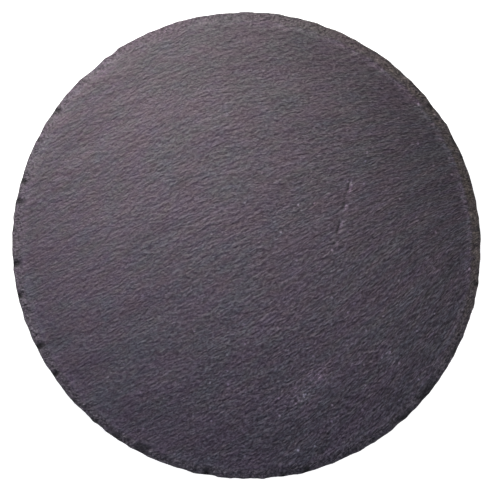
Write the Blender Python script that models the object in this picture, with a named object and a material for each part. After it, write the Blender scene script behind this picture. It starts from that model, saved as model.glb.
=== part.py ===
# Round serving plate split from natural slate, with a hand-dressed edge,
# standing on four self-adhesive foam feet.
# Metres, +Z up. The origin is on the table, under the middle of the plate.

import math
import random

import bmesh
import bpy
from mathutils import Matrix, Vector

MM = 0.001
FULL_TURN = 2.0 * math.pi

# Overall sizes
PLATE_DIAMETER = 300.0 * MM
PLATE_THICKNESS = 6.0 * MM

# Dressed edge: a band knapped all round, which rolls over from the face and ends in a steep lip
BEVEL_WIDTH = 7.6 * MM
BEVEL_ROLL = 1.4
LIP_HEIGHT = 3.6 * MM
LIP_LEAN = 0.8 * MM
BEVEL_STEPS = 4
EDGE_SEGMENTS = 360

# The disc is slightly oval, as one marked out and cut by hand is
OVAL_SWELL = 0.66 * MM
OVAL_LONG_AXIS = math.radians(-33.0)

# Blows of the dressing knife
STRIKE_PITCH = 11.0 * MM
STRIKE_DEPTH = 0.45 * MM
STRIKE_SEED = 14

# Larger bites out of the rim: angle in degrees, depth and half width along the rim
RIM_BITES = (
    (27.0, 0.45 * MM, 7.0 * MM),
    (59.5, 0.60 * MM, 7.0 * MM),
    (131.0, 1.10 * MM, 11.0 * MM),
    (167.5, 0.60 * MM, 5.5 * MM),
    (213.5, 0.50 * MM, 5.0 * MM),
    (261.5, 0.95 * MM, 5.0 * MM),
    (293.5, 0.50 * MM, 4.5 * MM),
    (310.5, 0.60 * MM, 5.0 * MM),
)

# Spurs left standing between blows: angle in degrees, height and half width
RIM_SPURS = (
    (31.0, 0.55 * MM, 4.0 * MM),
    (53.0, 0.60 * MM, 6.0 * MM),
    (83.0, 0.45 * MM, 9.0 * MM),
    (121.5, 0.75 * MM, 7.0 * MM),
    (283.5, 0.60 * MM, 5.0 * MM),
    (345.0, 0.60 * MM, 4.0 * MM),
    (350.7, 0.80 * MM, 4.0 * MM),
)

# Feet: die-cut foam pads, each with its own disc of adhesive film
FOOT_COUNT = 4
FOOT_DIAMETER = 18.0 * MM
FOOT_HEIGHT = 2.5 * MM
FOOT_EDGE_ROUND = 0.35 * MM
FOOT_EDGE_MARGIN = 36.0 * MM
ADHESIVE_INSET = 0.5 * MM
ADHESIVE_THICKNESS = 0.5 * MM
FOOT_SEGMENTS = 56

# Touching pieces keep this gap
CONTACT_GAP = 0.3 * MM

# Heights that follow from the sizes above
ADHESIVE_BASE = FOOT_HEIGHT + CONTACT_GAP
PLATE_BASE = ADHESIVE_BASE + ADHESIVE_THICKNESS + CONTACT_GAP

FOOT_NAMES = ("back_right", "back_left", "front_left", "front_right")

SLATE_COLOUR = (0.098, 0.084, 0.101, 1.0)
FOAM_COLOUR = (0.018, 0.018, 0.019, 1.0)
ADHESIVE_COLOUR = (0.62, 0.60, 0.54, 1.0)


def clear_scene():
    for leftover in list(bpy.data.objects):
        bpy.data.objects.remove(leftover, do_unlink=True)


def new_collection(name):
    collection = bpy.data.collections.new(name)
    bpy.context.scene.collection.children.link(collection)
    return collection


def principled(name, colour, roughness):
    material = bpy.data.materials.new(name)
    material.use_nodes = True
    shader = material.node_tree.nodes["Principled BSDF"]
    shader.inputs["Base Color"].default_value = colour
    shader.inputs["Roughness"].default_value = roughness
    shader.inputs["Metallic"].default_value = 0.0
    return material


def object_from(build, name, material, collection):
    mesh = bpy.data.meshes.new(name)
    bmesh.ops.recalc_face_normals(build, faces=build.faces)
    build.to_mesh(mesh)
    build.free()
    mesh.materials.append(material)
    mesh.shade_smooth()
    mesh.set_sharp_from_angle(angle=math.radians(28.0))
    piece = bpy.data.objects.new(name, mesh)
    collection.objects.link(piece)
    return piece


def angle_apart(first, second):
    return abs((first - second + math.pi) % FULL_TURN - math.pi)


def scoop(angle, centre, half_width, radius):
    # 1 in the middle of a blow, falling to 0 at its two ends
    share = angle_apart(angle, centre) * radius / half_width
    return max(0.0, 1.0 - share * share)


def dressing_strikes(radius):
    # the blows go round at a steady pitch, each a little off its place
    chooser = random.Random(STRIKE_SEED)
    count = round(FULL_TURN * radius / STRIKE_PITCH)
    strikes = []
    for blow in range(count):
        angle = (blow + chooser.uniform(-0.3, 0.3)) * FULL_TURN / count
        depth = STRIKE_DEPTH * chooser.uniform(0.3, 1.5)
        half_width = STRIKE_PITCH * chooser.uniform(0.45, 0.75)
        strikes.append((angle, depth, half_width))
    return strikes


def deepest(angle, marks, radius):
    return max(depth * scoop(angle, centre, width, radius) for centre, depth, width in marks)


def in_radians(marks):
    return [(math.radians(angle), depth, width) for angle, depth, width in marks]


class DressedEdge:
    # where the rim and the edge of the face lie, at any angle round the plate

    def __init__(self, radius):
        self.radius = radius
        self.strikes = dressing_strikes(radius)
        self.bites = in_radians(RIM_BITES)
        self.spurs = in_radians(RIM_SPURS)

    def taken_off(self, angle):
        blow = deepest(angle, self.strikes, self.radius)
        bite = deepest(angle, self.bites, self.radius)
        spur = deepest(angle, self.spurs, self.radius)
        return max(blow, bite) - spur

    def rim(self, angle):
        oval = OVAL_SWELL * math.cos(2.0 * (angle - OVAL_LONG_AXIS))
        return self.radius + STRIKE_DEPTH / 2.0 + oval - self.taken_off(angle)

    def setback(self, angle, height):
        # how far in from the rim the edge surface is at a height above the underside
        if height <= LIP_HEIGHT:
            return LIP_LEAN * height / LIP_HEIGHT
        width = BEVEL_WIDTH - LIP_LEAN + 0.5 * self.taken_off(angle)
        drop = (PLATE_THICKNESS - height) / (PLATE_THICKNESS - LIP_HEIGHT)
        outward = min(1.0, max(0.0, drop)) ** (1.0 / BEVEL_ROLL)
        return LIP_LEAN + width * (1.0 - outward)


def slate_plate(material, collection):
    radius = PLATE_DIAMETER / 2.0
    build = bmesh.new()
    bmesh.ops.create_cone(
        build,
        cap_ends=True,
        segments=EDGE_SEGMENTS,
        radius1=radius,
        radius2=radius - BEVEL_WIDTH,
        depth=PLATE_THICKNESS,
        matrix=Matrix.Translation((0.0, 0.0, PLATE_THICKNESS / 2.0)),
    )
    for step in range(BEVEL_STEPS):
        level = LIP_HEIGHT + (PLATE_THICKNESS - LIP_HEIGHT) * step / BEVEL_STEPS
        bmesh.ops.bisect_plane(
            build,
            geom=build.verts[:] + build.edges[:] + build.faces[:],
            plane_co=(0.0, 0.0, level),
            plane_no=(0.0, 0.0, 1.0),
        )
    edge = DressedEdge(radius)
    for vert in build.verts:
        angle = math.atan2(vert.co.y, vert.co.x)
        reach = edge.rim(angle) - edge.setback(angle, vert.co.z)
        vert.co.x = reach * math.cos(angle)
        vert.co.y = reach * math.sin(angle)
    bmesh.ops.translate(build, verts=build.verts, vec=(0.0, 0.0, PLATE_BASE))
    return object_from(build, "slate_plate", material, collection)


def foot_centres():
    ring = PLATE_DIAMETER / 2.0 - FOOT_EDGE_MARGIN - FOOT_DIAMETER / 2.0
    for foot in range(FOOT_COUNT):
        angle = (foot + 0.5) * FULL_TURN / FOOT_COUNT
        yield FOOT_NAMES[foot], Vector((ring * math.cos(angle), ring * math.sin(angle), 0.0))


def flat_disc(diameter, thickness, base, edge_round):
    build = bmesh.new()
    bmesh.ops.create_cone(
        build,
        cap_ends=True,
        segments=FOOT_SEGMENTS,
        radius1=diameter / 2.0,
        radius2=diameter / 2.0,
        depth=thickness,
        matrix=Matrix.Translation((0.0, 0.0, base + thickness / 2.0)),
    )
    if edge_round:
        lower_rim = [e for e in build.edges if all(v.co.z < base + thickness / 2.0 for v in e.verts)]
        bmesh.ops.bevel(
            build,
            geom=lower_rim,
            offset=edge_round,
            segments=2,
            profile=0.5,
            affect="EDGES",
            material=-1,
        )
    return build


def foot_pad(name, centre, material, collection):
    build = flat_disc(FOOT_DIAMETER, FOOT_HEIGHT, 0.0, FOOT_EDGE_ROUND)
    pad = object_from(build, "foot_pad_" + name, material, collection)
    pad.location = centre
    return pad


def adhesive_disc(name, centre, material, collection):
    diameter = FOOT_DIAMETER - 2.0 * ADHESIVE_INSET
    build = flat_disc(diameter, ADHESIVE_THICKNESS, ADHESIVE_BASE, 0.0)
    disc = object_from(build, "adhesive_disc_" + name, material, collection)
    disc.location = centre
    return disc


def build_plate():
    clear_scene()
    parts = new_collection("slate_serving_plate")
    slate = principled("split_slate", SLATE_COLOUR, 0.62)
    foam = principled("black_eva_foam", FOAM_COLOUR, 0.85)
    adhesive = principled("adhesive_film", ADHESIVE_COLOUR, 0.45)
    slate_plate(slate, parts)
    for name, centre in foot_centres():
        adhesive_disc(name, centre, adhesive, parts)
        foot_pad(name, centre, foam, parts)


build_plate()
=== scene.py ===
import math

import bmesh
import bpy
from mathutils import Matrix, Vector, noise


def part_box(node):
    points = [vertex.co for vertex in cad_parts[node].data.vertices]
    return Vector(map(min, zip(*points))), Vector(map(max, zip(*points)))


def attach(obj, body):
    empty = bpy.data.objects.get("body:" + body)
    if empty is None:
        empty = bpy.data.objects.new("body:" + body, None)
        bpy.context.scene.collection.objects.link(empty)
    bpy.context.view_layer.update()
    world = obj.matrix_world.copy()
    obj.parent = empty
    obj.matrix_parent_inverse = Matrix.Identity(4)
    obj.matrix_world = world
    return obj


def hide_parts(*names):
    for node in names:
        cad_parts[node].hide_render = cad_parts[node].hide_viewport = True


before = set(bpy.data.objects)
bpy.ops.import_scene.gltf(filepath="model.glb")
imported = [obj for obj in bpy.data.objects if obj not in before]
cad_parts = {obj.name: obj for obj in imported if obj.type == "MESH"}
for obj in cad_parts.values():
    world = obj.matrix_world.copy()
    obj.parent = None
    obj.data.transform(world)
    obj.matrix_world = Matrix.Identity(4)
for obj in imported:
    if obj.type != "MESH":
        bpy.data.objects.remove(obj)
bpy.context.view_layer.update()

mm = 0.001
fullTurn = 2 * math.pi


def toLinear(hexColour):
    # an sRGB hex colour as linear red, green, blue and alpha
    channels = []
    for place in (0, 2, 4):
        value = int(hexColour[place:place + 2], 16) / 255
        channels.append(value / 12.92 if value <= 0.04045 else ((value + 0.055) / 1.055) ** 2.4)
    return (*channels, 1.0)


def addNode(tree, kind, feeds=None, **settings):
    # feeds gives each socket a value, another node's output, or a node for its first output
    node = tree.nodes.new("ShaderNode" + kind)
    for name, value in settings.items():
        setattr(node, name, value)
    for socket, source in (feeds or {}).items():
        if isinstance(source, bpy.types.Node):
            source = source.outputs[0]
        if isinstance(source, bpy.types.NodeSocket):
            tree.links.new(source, node.inputs[socket])
        else:
            node.inputs[socket].default_value = source
    return node


def newMaterial(name):
    material = bpy.data.materials.new(name)
    material.use_nodes = True
    tree = material.node_tree
    tree.nodes.clear()
    shader = addNode(tree, "BsdfPrincipled")
    addNode(tree, "OutputMaterial", {"Surface": shader.outputs["BSDF"]})
    return material, tree, shader


def makePiece(name, bm, material):
    bmesh.ops.recalc_face_normals(bm, faces=bm.faces[:])
    mesh = bpy.data.meshes.new(name)
    bm.to_mesh(mesh)
    bm.free()
    mesh.materials.append(material)
    mesh.shade_smooth()
    piece = bpy.data.objects.new(name, mesh)
    bpy.context.scene.collection.objects.link(piece)
    return piece


def ease(share):
    share = min(1.0, max(0.0, share))
    return share * share * (3 - 2 * share)


def stepped(value, tread):
    # a staircase: level for the tread's share of each step, then a smooth riser
    level = math.floor(value)
    return level + ease((value - level - tread) / (1 - tread))


noisePeriod = 1.9    # the bumps of a noise lie about this many units apart


def grain3(x, y, layer):
    # smooth noise from about -1 to 1, with a pattern of its own for each layer
    return noise.noise(Vector((x, y, layer)))


# the slate disc

stone = {
    "alongStep": 1.28 * mm,       # mesh along the grain
    "acrossStep": 0.70 * mm,      # and across it, about four points to a ripple
    "undersideStep": 3.8 * mm,
    "gridMargin": 1.02,           # the grids start this much wider than the plate
    "rimPoints": 940,             # round the edge, 1 mm apart
    "bevelRings": 14,             # mesh down the dressed band
    "lipRings": 4,                # and down the upright lip below it
    "lipHeight": 3.6 * mm,
    "lipLean": 0.8 * mm,          # how far it leans in
    "lipRough": 0.12 * mm,
    "lipFoot": 0.25 * mm,         # it ends this far above the underside
    "bevelRoll": 1.4,             # how late the dressed band rolls over
    "underArris": 0.5 * mm,       # the crushed corner under the rim
    "underHollow": 0.25 * mm,     # the underside lies this far up inside it, on average
    "underSlope": 6 * mm,         # and slopes up to there over this much of its edge
    "grainTurn": math.radians(17),    # of the grain in the middle, and of the mesh
    "rippleSpacing": 3.0 * mm,
    "rippleLength": 9 * mm,
    "rippleHeight": 0.25 * mm,
    "fineHeight": 0.17 * mm,      # finer ripples, which take over towards the front right
    "rougher": 0.35,              # how much rougher the split is there
    "rippleLoss": 0.65,           # what the ripples lose there, and the finer ones gain
    "fineGain": 2.3,
    "wavers": [(2.2, 31, 24, 3.1), (0.5, 8, 6, 13.1)],    # mm aside, along and across; layer
    "swellHeight": 0.35 * mm,     # slow waves of the whole face
    "swellSize": 70 * mm,
    "leafHeight": 0.08 * mm,      # the step at the end of a leaf
    "leafCount": 6,
    "leafTread": 0.75,            # the flat share of each leaf
    "crestHeight": 0.10 * mm,     # a slight raised lip where the face meets the dressed band
    "crestWidth": 2.2 * mm,
    "beddingSteps": 6,            # beds that show as steps down the dressed band
    "beddingTread": 0.4,          # the flat share of each
    "chipDepth": 0.10 * mm,       # the rim's finest chips
    "scarDepth": 0.5 * mm,        # hollows where a flake came off the band
    "facetHeight": 0.8 * mm,      # broken facets between them
    "chipReach": 12 * mm,         # no chip reaches further in than this
    "wallShadeHeight": 0.7 * mm,    # painted shade darkens the lip from this far below its top
    "wallShadeReach": 3 * mm,       # and this far in from the rim
    "wallShadeSide": math.radians(-70),    # where round the rim the painted shade is darkest, on the front right, away from the lamps

    # how the grain sweeps over the face: its rise, in shares of the plate's radius
    "grainSlope": 0.47,           # from left to right
    "grainArch": 0.05,            # less of it towards both sides
    "grainFan": 0.2,              # it fans out on the right
    "grainLull": 0.2,             # lies flatter at the back
    "grainClimb": 0.5,            # and climbs at the front right
    "grainClimbPower": 2.2,

    # one fine, broken seam in the face: its start and its run, in mm
    "seamStart": (67.7, 46.2),
    "seamRun": (-12.9, -52.0),
    "seamWaver": 0.9,             # mm from side to side
    "seamReach": 5,               # mm aside, past which it does nothing
    "seamFade": 6,                # it fades in over a sixth of its length, and out again
    "seamDepth": 0.35 * mm,
    # the groove's lit wall gets a painted highlight, and its other wall painted shade
    "seamHighlight": 6,

    # scuffs on the face: middle and size in mm
    "scuffs": [(36, -95, 6), (47, -84, 5), (92, -70, 4)],
    "scuffPaleness": 22,

    # the larger chips knocked out of the edge: where round the rim in degrees, their length
    # along it, reach inwards and depth in mm, and how dark the painted shade in them is
    "edgeChips": [
        (4, 5, 2.2, 0.6, 0.8),
        (16, 7, 5, 0.5, 0.2),
        (22, 5, 2.2, 0.6, 0.9),
        (27, 7, 2.5, 0.7, 0.9),
        (32, 4, 2.4, 0.7, 0.9),
        (37, 5, 3.5, 0.9, 1.0),
        (43, 8, 2, 0.6, 0.9),
        (49, 9, 5, 0.4, 0.1),
        (56, 6, 2, 0.5, 0.7),
        (100, 14, 6, 0.3, 0.0),
        (130, 16, 7, 0.5, 0.0),
        (144.5, 3.5, 5, 1.1, 0.9),
        (153, 3, 3.5, 0.9, 0.8),
        (164, 4, 5, 1.1, 1.0),
        (169, 5, 6, 0.9, 0.9),
        (176, 3, 3, 0.8, 0.7),
        (184.5, 5, 6, 1.2, 1.0),
        (192.5, 4, 4, 1.0, 1.0),
        (206, 4, 7, 1.0, 1.0),
        (214, 3.5, 5, 1.0, 1.0),
        (222, 4, 3, 0.8, 0.9),
        (229, 5, 3, 0.8, 0.8),
        (236, 6, 3, 0.8, 0.8),
        (243, 10, 8, 0.9, 0.5),
        (260, 4, 4, 1.0, 0.9),
        (279, 3, 3, 1.0, 0.9),
        (285, 5, 4, 0.8, 0.9),
        (313, 11, 3.5, 0.8, 0.9),
        (321, 17, 5, 0.9, 0.8),
        (333, 7, 3, 0.8, 0.9),
        (350.5, 3, 4, 1.0, 0.9),
    ],
}

slabLow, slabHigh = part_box("slate_plate")
slabBase = slabLow.z
slabTop = slabHigh.z
plateRadius = (slabHigh.x - slabLow.x + slabHigh.y - slabLow.y) / 4


def angleOf(point):
    return math.atan2(point.y, point.x)


def slabRing(height):
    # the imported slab's outline at one height, as radii at even angles
    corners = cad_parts["slate_plate"].data.vertices
    level = [v.co for v in corners if abs(v.co.z - height) < 0.02 * mm]
    found = {round(angleOf(p) % fullTurn, 3): math.hypot(p.x, p.y) for p in level}
    return sorted(found.items())


rimRing = slabRing(slabBase)
faceRing = slabRing(slabTop)


def reachAt(ring, angle):
    # a smooth curve through the ring's radii
    place = (angle - ring[0][0]) / fullTurn * len(ring)
    start = math.floor(place)
    share = place - start
    a, b, c, d = (ring[(start + k) % len(ring)][1] for k in (-1, 0, 1, 2))
    bend = a * (-0.5 * share + share ** 2 - 0.5 * share ** 3)
    bend += b * (1 - 2.5 * share ** 2 + 1.5 * share ** 3)
    bend += c * (0.5 * share + 2 * share ** 2 - 1.5 * share ** 3)
    return bend + d * (-0.5 * share ** 2 + 0.5 * share ** 3)


def rimPlace(angle):
    # a point on the rim in mm, where the edge's own patterns are read
    reach = plateRadius / mm
    return math.cos(angle) * reach, math.sin(angle) * reach


def rimReach(angle):
    x, y = rimPlace(angle)
    chip = grain3(x / 2.1, y / 2.1, 4.4) + 0.6 * grain3(x / 1.1, y / 1.1, 8.8)
    return reachAt(rimRing, angle) + stone["chipDepth"] * chip


def faceReach(angle):
    x, y = rimPlace(angle)
    ragged = 0.7 * grain3(x / 5, y / 5, 2.2) + 0.5 * grain3(x / 1.9, y / 1.9, 6.1)
    return reachAt(faceRing, angle) + ragged * mm


def grainPlace(x, y):
    # along and across the grain in mm; the grain swings upwards to the right
    s, t = x / plateRadius, y / plateRadius
    middle, right = max(0.0, s + 0.3), max(0.0, s)
    rise = stone["grainSlope"] * s - stone["grainArch"] * s * s
    rise -= stone["grainFan"] * t * middle ** 2
    rise -= stone["grainLull"] * max(0.0, t) * max(0.0, s + 0.25)
    frontness = 1 - ease((t + 0.1) / 0.8)
    rise += stone["grainClimb"] * right ** stone["grainClimbPower"] * frontness
    turn = stone["grainTurn"]
    across = (t - rise) * math.cos(turn) * plateRadius / mm
    along = (s * math.cos(turn) + t * math.sin(turn)) * plateRadius / mm
    return along, across


def seamAt(x, y):
    # how open the seam is here, and how far aside it lies in mm
    x, y = x / mm, y / mm
    startX, startY = stone["seamStart"]
    runX, runY = stone["seamRun"]
    length = math.hypot(runX, runY)
    share = ((x - startX) * runX + (y - startY) * runY) / length ** 2
    aside = ((y - startY) * runX - (x - startX) * runY) / length
    aside += stone["seamWaver"] * grain3(x / 5, y / 5, 44.0)
    if abs(aside) > stone["seamReach"]:
        return 0.0, aside
    dashes = ease(0.5 + 2.2 * grain3(x / 9, y / 4.5, 41.0))
    return dashes * ease(stone["seamFade"] * share) * ease(stone["seamFade"] * (1 - share)), aside


def scuffAt(x, y):
    # a few pale scuffs, each a cluster of short dashes
    along, across = grainPlace(x, y)
    dash = max(0.0, grain3(along / 2.2, across / 1.2, 47.0) + 0.05)
    paleness = 0.0
    for middleX, middleY, size in stone["scuffs"]:
        away = math.hypot(x - middleX * mm, y - middleY * mm) / (size * mm)
        paleness += stone["scuffPaleness"] * dash * math.exp(-away ** 2)
    return paleness


def rivenHeight(x, y, side=0.0):
    # split slate: wavering ripples, finer ones on them, and thin leaves that end in steps;
    # side picks another pattern for the underside, which has no seam
    along, across = grainPlace(x, y)
    spacing = stone["rippleSpacing"] / mm / noisePeriod
    length = stone["rippleLength"] / mm / noisePeriod
    for aside, alongSize, acrossSize, layer in stone["wavers"]:
        across += aside * grain3(along / alongSize, across / acrossSize, layer + side)
    lean = grain3(along / length, across / spacing, 5.0 + side)
    ripple = grain3(along / length, (across + 0.6 * lean) / spacing, 7.7 + side)
    fine = grain3(along / 1.8, across / spacing * 1.7, 1.3 + side)
    strength = 0.8 + 0.7 * grain3(along / 40, across / 26, 21.0 + side)
    front = (1.3 * x - 0.7 * y) / plateRadius
    strength *= 1 + stone["rougher"] * front
    gritty = ease(0.25 + 0.6 * front)
    height = stone["rippleHeight"] * ripple * (1 - stone["rippleLoss"] * gritty)
    height += stone["fineHeight"] * fine * (1 + stone["fineGain"] * gritty)
    height *= strength
    bed = stone["leafCount"] * grain3(along / 45, across / 16, 9.4 + side)
    leaf = stepped(bed + 0.7 * lean + 0.5 * fine, stone["leafTread"])
    swell = grain3(x / stone["swellSize"], y / stone["swellSize"], 30.0 + side)
    if side == 0:
        seam, aside = seamAt(x, y)
        height -= stone["seamDepth"] * seam * math.exp(-aside ** 2)
    return height + stone["leafHeight"] * leaf + stone["swellHeight"] * swell


def chipAt(angle, inward):
    # how deep the edge is chipped here, and how dark the painted shade in the chip's hollow is
    depth, chipShade = 0.0, 0.0
    for turn, length, reach, drop, shadeStrength in stone["edgeChips"]:
        aside = (angle - math.radians(turn) + math.pi) % fullTurn - math.pi
        aside *= plateRadius / (0.5 * length * mm)
        if abs(aside) < 2.2:
            hollow = math.exp(-aside ** 4 - (inward / (reach * mm)) ** 4)
            depth = max(depth, drop * mm * hollow)
            chipShade = max(chipShade, hollow * shadeStrength)
    return depth, chipShade


def lipTop(angle):
    x, y = rimPlace(angle)
    return slabBase + stone["lipHeight"] * (1 + 0.25 * grain3(x / 7, y / 7, 15.0))


def bevelHeight(angle, share, reach, top):
    # share runs from 0 at the edge of the face to 1 at the lip
    x, y = reach * math.cos(angle) / mm, reach * math.sin(angle) / mm
    middle = math.sin(math.pi * share)
    roll = share ** stone["bevelRoll"]
    warp = 1.3 * grain3(x / 9, y / 9, 17.0) + 0.7 * grain3(x / 3, y / 3, 19.0)
    steps, tread = stone["beddingSteps"], stone["beddingTread"]
    bedding = min(1.0, max(0.0, stepped(roll * steps + warp * middle, tread) / steps))
    fall = 0.5 * roll + 0.5 * bedding
    scar = max(0.0, grain3(x / 5.5, y / 5.5, 23.0) - 0.05) * middle
    facet = abs(grain3(x / 3.1, y / 3.1, 27.0)) + 0.6 * abs(grain3(x / 1.5, y / 1.5, 29.0))
    rough = stone["facetHeight"] * (facet - 0.3) * middle
    chip = chipAt(angle, rimReach(angle) - reach)[0] * ease(3 * share)
    return top + (lipTop(angle) - top) * fall - stone["scarDepth"] * scar + rough - chip


def placeOnRing(verts, reachOf, heightOf):
    for vert in verts:
        angle = angleOf(vert.co)
        reach = reachOf(angle)
        vert.co = (reach * math.cos(angle), reach * math.sin(angle), heightOf(angle, reach))


def trimmedGrid(bm, alongStep, acrossStep, reachOf, gap):
    # a grid laid along the grain and cut back to just inside an outline
    half = plateRadius * stone["gridMargin"]
    made = bmesh.ops.create_grid(
        bm,
        x_segments=round(2 * half / alongStep),
        y_segments=round(2 * half / acrossStep),
        size=half,
        matrix=Matrix.Rotation(stone["grainTurn"], 4, "Z"),
    )
    verts = made["verts"]
    outside = [v for v in verts if v.co.length > reachOf(angleOf(v.co)) - gap]
    bmesh.ops.delete(bm, geom=outside, context="VERTS")
    kept = [v for v in verts if v.is_valid]
    loose = [v for v in kept if not v.link_faces]
    bmesh.ops.delete(bm, geom=loose, context="VERTS")
    kept = [v for v in kept if v.is_valid]
    ours = set(kept)
    border = [e for e in bm.edges if e.is_boundary and e.verts[0] in ours]
    return kept, border


def makeStoneMesh():
    bm = bmesh.new()
    band = bm.verts.layers.float.new("band")
    # wear on the rim, pale scuffs and the painted highlight on the seam's lit wall; then painted
    # shade in the chips, on the lip wall and along the seam's other wall
    wearAndHighlight = bm.verts.layers.float.new("wearAndHighlight")
    paintedShade = bm.verts.layers.float.new("paintedShade")
    grain = bm.verts.layers.float_vector.new("grain")

    ring = bmesh.ops.create_circle(bm, segments=stone["rimPoints"], radius=plateRadius)["verts"]
    ringEdges = bm.edges[:]
    for vert in ring:
        vert.co = vert.co.normalized() * faceReach(angleOf(vert.co))
        vert[wearAndHighlight] = 1.0
    gap = 0.8 * stone["acrossStep"]
    face, border = trimmedGrid(bm, stone["alongStep"], stone["acrossStep"], faceReach, gap)
    bmesh.ops.triangle_fill(bm, edges=border + ringEdges, use_beauty=True)
    for vert in face + ring:
        inward = (faceReach(angleOf(vert.co)) - vert.co.xy.length) / stone["crestWidth"]
        crest = math.exp(-inward * inward)
        # the seam gets a painted highlight on its lit side and painted shade on its other side
        seam, aside = seamAt(vert.co.x, vert.co.y)
        paintedSeamHighlight = stone["seamHighlight"] * seam * math.exp(-(1.2 * aside - 1) ** 2)
        vert[wearAndHighlight] = crest + paintedSeamHighlight + scuffAt(vert.co.x, vert.co.y)
        vert[paintedShade] = seam * math.exp(-(1.2 * aside + 1) ** 2)
        vert.co.z = slabTop + rivenHeight(vert.co.x, vert.co.y) + stone["crestHeight"] * crest
    print("riven face:", len(face), "points")

    def faceEdgeHeight(angle):
        reach = faceReach(angle)
        riven = rivenHeight(reach * math.cos(angle), reach * math.sin(angle))
        return slabTop + riven + stone["crestHeight"]

    def addRing(edges, reachOf, heightOf, bandValue, wearValue):
        made = bmesh.ops.extrude_edge_only(bm, edges=edges)["geom"]
        verts = [g for g in made if isinstance(g, bmesh.types.BMVert)]
        placeOnRing(verts, reachOf, heightOf)
        for vert in verts:
            vert[band] = bandValue
            vert[wearAndHighlight] = wearValue
        return [g for g in made if isinstance(g, bmesh.types.BMEdge)]

    lean = stone["lipLean"]
    for step in range(1, stone["bevelRings"] + 1):
        share = step / stone["bevelRings"]

        def bevelReach(angle):
            inner = faceReach(angle)
            return inner + (rimReach(angle) - lean - inner) * share

        def bevelTop(angle, reach):
            return bevelHeight(angle, share, reach, faceEdgeHeight(angle))

        ringEdges = addRing(ringEdges, bevelReach, bevelTop, share, max(0.0, 1 - 6 * share))

    for step in range(1, stone["lipRings"] + 1):
        share = step / stone["lipRings"]

        def lipReach(angle):
            x, y = rimPlace(angle)
            rough = stone["lipRough"] * grain3(x / 1.7, y / 1.7, share * 4)
            return rimReach(angle) - lean * (1 - share) ** 1.5 + rough

        def lipHeight(angle, reach):
            return lipTop(angle) + (slabBase + stone["lipFoot"] - lipTop(angle)) * share

        ringEdges = addRing(ringEdges, lipReach, lipHeight, 1.0 - 0.8 * share, 0.0)

    corner = stone["underArris"]

    def underReach(angle):
        return reachAt(rimRing, angle) - 3 * corner

    ringEdges = addRing(ringEdges, lambda a: rimReach(a) - corner, lambda a, r: slabBase, 0.2, 0.3)
    ringEdges = addRing(ringEdges, underReach, lambda a, r: slabBase, 0.0, 0.0)
    step = stone["undersideStep"]
    under, border = trimmedGrid(bm, step, step * 0.7, underReach, 0.5 * step)
    for vert in under:
        vert.co.z = slabBase
    bmesh.ops.triangle_fill(bm, edges=border + ringEdges, use_beauty=True)
    for vert in under:
        inward = ease((underReach(angleOf(vert.co)) - vert.co.xy.length) / stone["underSlope"])
        riven = 0.5 * rivenHeight(vert.co.x, vert.co.y, 50.0)
        vert.co.z = slabBase + max(0.0, stone["underHollow"] + riven) * inward
    for vert in bm.verts:
        along, across = grainPlace(vert.co.x, vert.co.y)
        vert[grain] = (along * mm, across * mm, vert.co.z)
        angle = angleOf(vert.co)
        inward = rimReach(angle) - vert.co.xy.length
        # painted shade on the lip wall, all round and darkest on the front right, away from the
        # lamps, and in the chip hollows
        if inward < stone["chipReach"]:
            wall = ease((lipTop(angle) - vert.co.z) / stone["wallShadeHeight"])
            wall *= ease(1 - inward / stone["wallShadeReach"])
            shadedSide = 0.55 + 0.45 * math.cos(angle - stone["wallShadeSide"])
            vert[paintedShade] = max(vert[paintedShade], chipAt(angle, inward)[1], shadedSide * wall)
    triangles = sum(len(f.verts) - 2 for f in bm.faces)
    print("underside:", len(under), "points; whole disc:", triangles, "triangles")
    return bm


slateLook = {
    "green": "38363C",
    "grey": "3A353C",
    "plum": "3C343D",
    "dressed": "454047",          # pale dust on the dressed edge
    "rusty": "4A433E",            # and the iron stain on its right-hand side

    # noises drawn out along the grain: mm along it, mm across it, detail and roughness;
    # real mineral grit is finer, and is drawn as coarse as it needs to show
    "clouds": (30, 16, 4.0, 0.75),
    "casts": (15, 10, 3.0, 0.75),
    "streaks": (11.0, 1.3, 2.0, 0.6),
    "gravel": (3.8, 2.3, 1.0, 0.6),
    "grit": (1.65, 1.3, 1.0, 0.5),

    "patchSize": 6 * mm,          # patches of dust and rust on the dressed edge
    "crumbSize": 1.6 * mm,        # the facets that it is broken into
    "bedSize": (9 * mm, 9 * mm, 0.5 * mm),
    "speckCell": 11 * mm,         # at most one pale speck in a cell of this width
    "streakContrast": 0.15,
    "gritContrast": 0.10,
    "gritDrift": (0.23, -0.13),   # and what it gains towards the right and loses at the back
    "cloudDrift": (-0.01, 0.0),   # plum gains a little on the left
    "shadeTintDrift": (0.0, 0.22),     # a painted light and shade tint: olive gains at the back, nearer the lamp, and blue at the front, in shade
    "paintedShadeDark": 0.85,          # how much the painted shade darkens the stone
    "roughness": 0.6,
    "ior": 1.5,
    "specularLevel": 0.2,         # a dry split face has hardly any gloss

    # the depth of the relief that each pattern gives
    "crumbBump": 1.6 * mm,
    "bedBump": 0.35 * mm,
    "gritBump": 0.42 * mm,
    "gravelBump": 0.6 * mm,
    "streakBump": 0.2 * mm,
}


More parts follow.
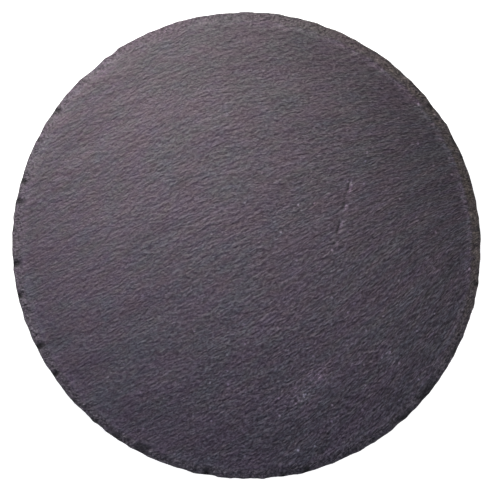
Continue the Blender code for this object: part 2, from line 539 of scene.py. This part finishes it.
def naturalRivenSlate():
    # slate, split by hand: a dry, dull purple-grey stone, streaky along its grain, with
    # crumbly broken edges
    material, tree, shader = newMaterial("naturalRivenSlate")
    place = addNode(tree, "TexCoord").outputs["Object"]
    grainAt = addNode(tree, "Attribute", attribute_name="grain").outputs["Vector"]
    bandAt = addNode(tree, "Attribute", attribute_name="band").outputs["Fac"]
    wearAndHighlightAt = addNode(tree, "Attribute", attribute_name="wearAndHighlight").outputs["Fac"]
    paintedShadeAt = addNode(tree, "Attribute", attribute_name="paintedShade").outputs["Fac"]

    def noiseOf(point, sizes, detail, roughness):
        # a noise whose spots have these sizes in metres
        scale = tuple(1 / size for size in sizes)
        spot = addNode(tree, "Mapping", {"Vector": point, "Scale": scale})
        feeds = {"Vector": spot, "Scale": 1.0, "Detail": detail, "Roughness": roughness}
        return addNode(tree, "TexNoise", feeds)

    def grainNoise(name):
        along, across, detail, roughness = slateLook[name]
        return noiseOf(grainAt, (along * mm, across * mm, across * mm), detail, roughness)

    def widened(pattern, low, high):
        # what a map range needs to stretch a noise's middle from low to high
        return {"Value": pattern, "From Min": 0.3, "From Max": 0.7, "To Min": low, "To Max": high}

    def drift(x, y):
        # what a dot product needs to grow from the middle to this much at the rim
        return {0: place, 1: (x / plateRadius, y / plateRadius, 0)}

    # clouds of green-grey and plum, 5 to 40 mm across, drawn out along the grain
    drifted = addNode(tree, "VectorMath", drift(*slateLook["cloudDrift"]), operation="DOT_PRODUCT")
    clouds = {0: grainNoise("clouds"), 1: drifted.outputs["Value"]}
    clouds = addNode(tree, "Math", clouds, operation="ADD")
    clouds = addNode(tree, "Math", {0: clouds, 1: 0.02}, operation="ADD")
    cloudColour = addNode(tree, "ValToRGB", {"Fac": clouds})
    ramp = cloudColour.color_ramp
    ramp.elements[0].position = 0.40
    ramp.elements[0].color = toLinear(slateLook["green"])
    ramp.elements[1].position = 0.60
    ramp.elements[1].color = toLinear(slateLook["plum"])
    ramp.elements.new(0.5).color = toLinear(slateLook["grey"])

    # and weaker patches that lean to blue or to olive, with a painted tint of light at the back
    # and of shade at the front
    drifted = addNode(tree, "VectorMath", drift(*slateLook["shadeTintDrift"]), operation="DOT_PRODUCT")
    casts = {0: grainNoise("casts"), 1: drifted.outputs["Value"]}
    casts = addNode(tree, "Math", casts, operation="ADD")
    castFeeds = {
        "Fac": addNode(tree, "MapRange", widened(casts, 0.0, 1.0)),
        "Color1": (0.965, 0.99, 1.09, 1),
        "Color2": (1.035, 1.01, 0.92, 1),
    }
    cast = addNode(tree, "MixRGB", castFeeds)
    faceColour = addNode(tree, "VectorMath", {0: cloudColour, 1: cast}, operation="MULTIPLY")

    # the dressed edge is dusty, less so at the back, and rusty on the right
    patches = noiseOf(place, (slateLook["patchSize"],) * 3, 3.0, 0.7)
    patches = addNode(tree, "MapRange", widened(patches, 0.3, 1.2))
    backward = addNode(tree, "VectorMath", drift(-0.4, 0.9), operation="DOT_PRODUCT")
    clean = {"Value": backward.outputs["Value"], "From Max": 0.9, "To Min": 1.0, "To Max": 0.25}
    clean = addNode(tree, "MapRange", clean)
    patches = addNode(tree, "Math", {0: patches, 1: clean}, operation="MULTIPLY")
    rightward = addNode(tree, "VectorMath", drift(0.82, 0.57), operation="DOT_PRODUCT")
    rust = {"Value": rightward.outputs["Value"], "From Min": 0.35, "From Max": 0.85}
    rust = addNode(tree, "MapRange", rust)
    edgeFeeds = {
        "Fac": rust,
        "Color1": toLinear(slateLook["dressed"]),
        "Color2": toLinear(slateLook["rusty"]),
    }
    edgeColour = addNode(tree, "MixRGB", edgeFeeds)
    onBand = {"Value": bandAt, "From Max": 0.4}
    onBand = addNode(tree, "MapRange", onBand, interpolation_type="SMOOTHSTEP")
    dressed = addNode(tree, "Math", {0: onBand, 1: patches}, operation="MULTIPLY", use_clamp=True)
    stoneColour = {"Fac": dressed, "Color1": faceColour, "Color2": edgeColour}
    stoneColour = addNode(tree, "MixRGB", stoneColour)

    # the band is broken into crumbly facets, some pale with dust, some dark
    crumbs = noiseOf(place, (slateLook["crumbSize"],) * 3, 2.0, 0.6)
    dusty = addNode(tree, "MapRange", widened(crumbs, -0.58, 0.66))
    bandTone = addNode(tree, "Math", {0: dusty, 1: onBand, 2: 1.0}, operation="MULTIPLY_ADD")

    # streaks of mineral along the grain
    streaks = grainNoise("streaks")
    half = slateLook["streakContrast"]
    streakTone = addNode(tree, "MapRange", widened(streaks, 1 - half, 1 + half))

    # and grit, which shows more towards the front right
    grit = grainNoise("grit")
    gravel = grainNoise("gravel")
    drifted = addNode(tree, "VectorMath", drift(*slateLook["gritDrift"]), operation="DOT_PRODUCT")
    frontRight = drifted.outputs["Value"]
    contrast = {0: frontRight, 1: slateLook["gritContrast"]}
    contrast = addNode(tree, "Math", contrast, operation="ADD")
    lumps = {
        0: addNode(tree, "MapRange", widened(gravel, -1, 1)),
        1: addNode(tree, "MapRange", widened(grit, -1, 1)),
    }
    lumps = addNode(tree, "Math", lumps, operation="ADD")
    gritTone = addNode(tree, "Math", {0: lumps, 1: contrast, 2: 1.0}, operation="MULTIPLY_ADD")

    # worn stone is pale in crumbs, most of all on the rusty side, and painted shade darkens the
    # chips, the lip wall and one wall of the seam
    broken = addNode(tree, "Math", {0: rust, 1: 0.7, 2: 0.3}, operation="MULTIPLY_ADD")
    broken = {0: addNode(tree, "MapRange", widened(crumbs, -0.3, 1.2)), 1: broken}
    broken = addNode(tree, "Math", broken, operation="MULTIPLY")
    broken = addNode(tree, "Math", {0: broken, 1: 0.12}, operation="ADD")
    wornAndShaded = addNode(tree, "Math", {0: wearAndHighlightAt, 1: broken, 2: 1.0}, operation="MULTIPLY_ADD")
    shade = {0: paintedShadeAt, 1: -slateLook["paintedShadeDark"], 2: 1.0}
    shade = addNode(tree, "Math", shade, operation="MULTIPLY_ADD")
    wornAndShaded = addNode(tree, "Math", {0: wornAndShaded, 1: shade}, operation="MULTIPLY")

    # pale mineral specks about a millimetre across, most of them at the front right
    cells = {"Vector": place, "Scale": (1 / slateLook["speckCell"],) * 3}
    cells = {"Vector": addNode(tree, "Mapping", cells), "Scale": 1.0}
    specks = addNode(tree, "TexVoronoi", cells, voronoi_dimensions="2D")
    near = {"Value": specks.outputs["Distance"], "From Min": 0.090, "From Max": 0.040}
    near = addNode(tree, "MapRange", near)
    chance = addNode(tree, "SeparateXYZ", {"Vector": specks.outputs["Color"]})
    most = {"Value": frontRight, "From Min": -0.1, "From Max": 0.1, "To Min": 0.4, "To Max": 2.6}
    most = addNode(tree, "MapRange", most)
    picked = addNode(tree, "MapRange", {"Value": chance, "From Min": 0.7, "To Max": most})
    speckled = addNode(tree, "Math", {0: near, 1: picked, 2: wornAndShaded}, operation="MULTIPLY_ADD")

    tone = addNode(tree, "Math", {0: streakTone, 1: gritTone}, operation="MULTIPLY")
    tone = addNode(tree, "Math", {0: tone, 1: bandTone}, operation="MULTIPLY")
    tone = addNode(tree, "Math", {0: tone, 1: speckled}, operation="MULTIPLY")
    toned = addNode(tree, "VectorMath", {0: stoneColour, 3: tone}, operation="SCALE")
    # the grit's tone, with its dark flecks tinted purple like shade under the bluish room light, a
    # painted shade tint, and its pale flecks a little green
    shadeTintFeeds = {
        "Fac": addNode(tree, "MapRange", widened(grit, 0.0, 1.0)),
        "Color1": (0.72, 0.64, 0.73, 1),
        "Color2": (1.28, 1.35, 1.28, 1),
    }
    flecksAndShadeTint = addNode(tree, "MixRGB", shadeTintFeeds)
    toned = addNode(tree, "VectorMath", {0: toned, 1: flecksAndShadeTint}, operation="MULTIPLY")
    tree.links.new(toned.outputs["Vector"], shader.inputs["Base Color"])

    shader.inputs["Roughness"].default_value = slateLook["roughness"]
    shader.inputs["IOR"].default_value = slateLook["ior"]
    shader.inputs["Specular IOR Level"].default_value = slateLook["specularLevel"]

    # the broken edge shows its facets and the slate's beds, about half a millimetre thick
    beds = noiseOf(place, slateLook["bedSize"], 2.0, 0.6)
    side = addNode(tree, "Math", {0: bandAt, 1: paintedShadeAt}, operation="ADD", use_clamp=True)
    reliefs = {
        "crumbBump": addNode(tree, "Math", {0: crumbs, 1: bandAt}, operation="MULTIPLY"),
        "bedBump": addNode(tree, "Math", {0: beds, 1: side}, operation="MULTIPLY"),
        "gritBump": grit,
        "gravelBump": gravel,
        "streakBump": streaks,
    }
    facing = {}
    for name, height in reliefs.items():
        bump = {"Height": height, "Distance": slateLook[name], **facing}
        facing = {"Normal": addNode(tree, "Bump", bump)}
    tree.links.new(facing["Normal"].outputs["Normal"], shader.inputs["Normal"])
    return material


slate = makePiece("riven_slate", makeStoneMesh(), naturalRivenSlate())
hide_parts("slate_plate")
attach(slate, "root")

# the four foam feet and the film of glue above each

foot = {
    "padRound": 0.55 * mm,        # the die-cut edge, drawn in at both faces
    "padRoundSteps": 4,
    "padPoints": 96,
    "filmRound": 0.12 * mm,
    "filmRoundSteps": 2,
    "filmPoints": 120,
    "filmWave": 0.35 * mm,        # the film's edge has crept unevenly
    "clearance": 0.02 * mm,       # pad to film and film to slate
    "cellSize": 0.34 * mm,
    "cellDark": "161617",
    "cellPale": "29292B",
    "cellBump": 0.10 * mm,
    "milkSize": 2.2 * mm,         # clouds in the glue
    "milkDark": "C9C4B4",
    "milkPale": "E4E0D4",
    "milkBump": 0.05 * mm,
}


def discMesh(radius, low, high, points, middle, edgeRound, roundSteps, wave=None):
    # a closed disc with rounded edges; wave moves its outline in or out by the angle
    bm = bmesh.new()
    ring = bmesh.ops.create_circle(bm, segments=points, radius=radius, cap_ends=True)
    bmesh.ops.translate(bm, verts=ring["verts"], vec=(0, 0, low))
    raised = bmesh.ops.extrude_face_region(bm, geom=bm.faces[:])["geom"]
    top = [g for g in raised if isinstance(g, bmesh.types.BMVert)]
    bmesh.ops.translate(bm, verts=top, vec=(0, 0, high - low))
    if wave:
        for vert in bm.verts:
            vert.co.xy *= 1 + wave(angleOf(vert.co)) / radius
    rims = [e for e in bm.edges if len({round(v.co.z, 6) for v in e.verts}) == 1]
    bmesh.ops.bevel(
        bm,
        geom=rims,
        offset=edgeRound,
        offset_type="OFFSET",
        segments=roundSteps,
        profile=0.5,
        affect="EDGES",
        material=-1,
    )
    bmesh.ops.translate(bm, verts=bm.verts[:], vec=middle)
    return bm


def dieCutFoam():
    # black EVA foam: dull, with fine closed cells cut open on its sides
    material, tree, shader = newMaterial("dieCutEvaFoam")
    place = addNode(tree, "TexCoord").outputs["Object"]
    spot = addNode(tree, "Mapping", {"Vector": place, "Scale": (1 / foot["cellSize"],) * 3})
    cells = addNode(tree, "TexVoronoi", {"Vector": spot, "Scale": 1.0}).outputs["Distance"]
    tone = addNode(tree, "ValToRGB", {"Fac": cells})
    tone.color_ramp.elements[0].color = toLinear(foot["cellDark"])
    tone.color_ramp.elements[1].color = toLinear(foot["cellPale"])
    tree.links.new(tone.outputs["Color"], shader.inputs["Base Color"])
    bump = addNode(tree, "Bump", {"Height": cells, "Distance": foot["cellBump"]})
    tree.links.new(bump.outputs["Normal"], shader.inputs["Normal"])
    shader.inputs["Roughness"].default_value = 0.85
    shader.inputs["Sheen Weight"].default_value = 0.08
    return material


def setGlueFilm():
    # acrylic glue film: milky, slightly glossy, a little cloudy
    material, tree, shader = newMaterial("setAcrylicGlueFilm")
    place = addNode(tree, "TexCoord").outputs["Object"]
    spot = addNode(tree, "Mapping", {"Vector": place, "Scale": (1 / foot["milkSize"],) * 3})
    milk = addNode(tree, "TexNoise", {"Vector": spot, "Scale": 1.0, "Detail": 3.0}).outputs["Fac"]
    tone = addNode(tree, "ValToRGB", {"Fac": milk})
    tone.color_ramp.elements[0].position = 0.35
    tone.color_ramp.elements[0].color = toLinear(foot["milkDark"])
    tone.color_ramp.elements[1].position = 0.7
    tone.color_ramp.elements[1].color = toLinear(foot["milkPale"])
    tree.links.new(tone.outputs["Color"], shader.inputs["Base Color"])
    bump = addNode(tree, "Bump", {"Height": milk, "Distance": foot["milkBump"]})
    tree.links.new(bump.outputs["Normal"], shader.inputs["Normal"])
    shader.inputs["Roughness"].default_value = 0.32
    return material


foam = dieCutFoam()
glue = setGlueFilm()
for corner in ("back_right", "back_left", "front_left", "front_right"):
    padLow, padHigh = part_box("foot_pad_" + corner)
    glueLow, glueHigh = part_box("adhesive_disc_" + corner)
    middle = (padLow + padHigh) / 2
    middle.z = 0
    seed = middle.x * 40 + middle.y * 90    # each film has a wave of its own
    padTop = glueLow.z - foot["clearance"]
    padRadius = (padHigh.x - padLow.x) / 2

    def filmWave(angle):
        return foot["filmWave"] * grain3(3 * math.cos(angle), 3 * math.sin(angle), seed)

    padMesh = discMesh(
        padRadius,
        0.0,
        padTop,
        foot["padPoints"],
        middle,
        foot["padRound"],
        foot["padRoundSteps"],
    )
    pad = makePiece("foam_pad_" + corner, padMesh, foam)
    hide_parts("foot_pad_" + corner)
    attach(pad, "root")

    filmRadius = (glueHigh.x - glueLow.x) / 2 - foot["filmWave"] / 2
    filmTop = slabBase - foot["clearance"]
    filmMesh = discMesh(
        filmRadius,
        glueLow.z,
        filmTop,
        foot["filmPoints"],
        middle,
        foot["filmRound"],
        foot["filmRoundSteps"],
        filmWave,
    )
    film = makePiece("glue_film_" + corner, filmMesh, glue)
    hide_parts("adhesive_disc_" + corner)
    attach(film, "root")
print("four foam feet on their glue films")

# the stage, the light and the camera, with lengths in metres

stage = {
    "floorSize": 6.0,
    "floorDrop": 0.05 * mm,       # keeps the floor clear of the pads' undersides
    "floorColour": "B4B4B4",
    "shadowInset": 26 * mm,       # the glow fades out this far in from the rim
    "shadowGlow": 0.02,
    "wallHeight": 0.15,           # the sky's white ends here, as the sine of its height
    "ceilingHeight": 0.30,
    "wall": (1.0, 1.0, 1.0, 1),
    "ceiling": (0.12, 0.15, 0.21, 1),
    "cameraLens": 100.0,
    "sensor": 36.0,
    "frameWidth": 315.6 * mm,     # what the camera sees at the height of the slate
    "cameraAside": -0.25 * mm,
    "softboxes": {                # spread in degrees, power in watts
        "window": {
            "place": (-0.125, 0.26, 0.24),
            "aim": (-0.07, 0.02, 0),
            "size": (0.30, 0.22),
            "spread": 80,
            "power": 1.06,
            "colour": "FFFBF8",
        },
        "fill": {
            "place": (0.19, -0.06, 0.38),
            "aim": (0.14, -0.04, 0),
            "size": (0.12, 0.12),
            "spread": 40,
            "power": 0.017,
            "colour": "FFF4EC",
        },
    },
}


def makeFloor():
    bm = bmesh.new()
    low = Matrix.Translation((0, 0, -stage["floorDrop"]))
    bmesh.ops.create_grid(bm, x_segments=1, y_segments=1, size=stage["floorSize"] / 2, matrix=low)
    # pale matt paper, which glows softly, but not under the stone, where its shadow lies
    material, tree, shader = newMaterial("paleStudioFloor")
    shader.inputs["Base Color"].default_value = toLinear(stage["floorColour"])
    shader.inputs["Roughness"].default_value = 0.9
    shader.inputs["Emission Color"].default_value = toLinear("FFFFFF")
    place = addNode(tree, "TexCoord").outputs["Object"]
    reach = addNode(tree, "VectorMath", {0: place}, operation="LENGTH").outputs["Value"]
    shadow = {
        "Value": reach,
        "From Min": plateRadius - stage["shadowInset"],
        "From Max": plateRadius,
        "To Min": stage["shadowGlow"],
    }
    glow = addNode(tree, "MapRange", shadow, interpolation_type="SMOOTHSTEP")
    tree.links.new(glow.outputs["Result"], shader.inputs["Emission Strength"])
    floor = makePiece("studio_floor", bm, material)


def makeSoftbox(name, settings):
    light = bpy.data.lights.new(name, "AREA")
    light.shape = "RECTANGLE"
    light.size, light.size_y = settings["size"]
    light.energy = settings["power"]
    light.color = toLinear(settings["colour"])[:3]
    light.spread = math.radians(settings["spread"])
    lamp = bpy.data.objects.new(name, light)
    lamp.location = settings["place"]
    aim = Vector(settings["aim"]) - Vector(settings["place"])
    lamp.rotation_euler = aim.to_track_quat("-Z", "Y").to_euler()
    bpy.context.scene.collection.objects.link(lamp)


def makeCamera():
    distance = stage["frameWidth"] * stage["cameraLens"] / stage["sensor"]
    data = bpy.data.cameras.new("above")
    data.lens = stage["cameraLens"]
    data.sensor_width = stage["sensor"]
    camera = bpy.data.objects.new("above", data)
    camera.location = (stage["cameraAside"], stage["cameraAside"], slabBase + distance)
    bpy.context.scene.collection.objects.link(camera)
    bpy.context.scene.camera = camera


def lightTheRoom():
    # a white wall low down all round, and a dim bluish ceiling
    world = bpy.data.worlds.new("studio")
    world.use_nodes = True
    tree = world.node_tree
    direction = addNode(tree, "TexCoord").outputs["Generated"]
    up = addNode(tree, "SeparateXYZ", {"Vector": direction}).outputs["Z"]
    sky = addNode(tree, "ValToRGB", {"Fac": up})
    sky.color_ramp.elements[0].position = stage["wallHeight"]
    sky.color_ramp.elements[0].color = stage["wall"]
    sky.color_ramp.elements[1].position = stage["ceilingHeight"]
    sky.color_ramp.elements[1].color = stage["ceiling"]
    tree.links.new(sky.outputs["Color"], tree.nodes["Background"].inputs["Color"])
    bpy.context.scene.world = world
    bpy.context.scene.view_settings.view_transform = "Standard"


makeFloor()
for name, settings in stage["softboxes"].items():
    makeSoftbox(name, settings)
lightTheRoom()
makeCamera()
print("floor, lights and camera")
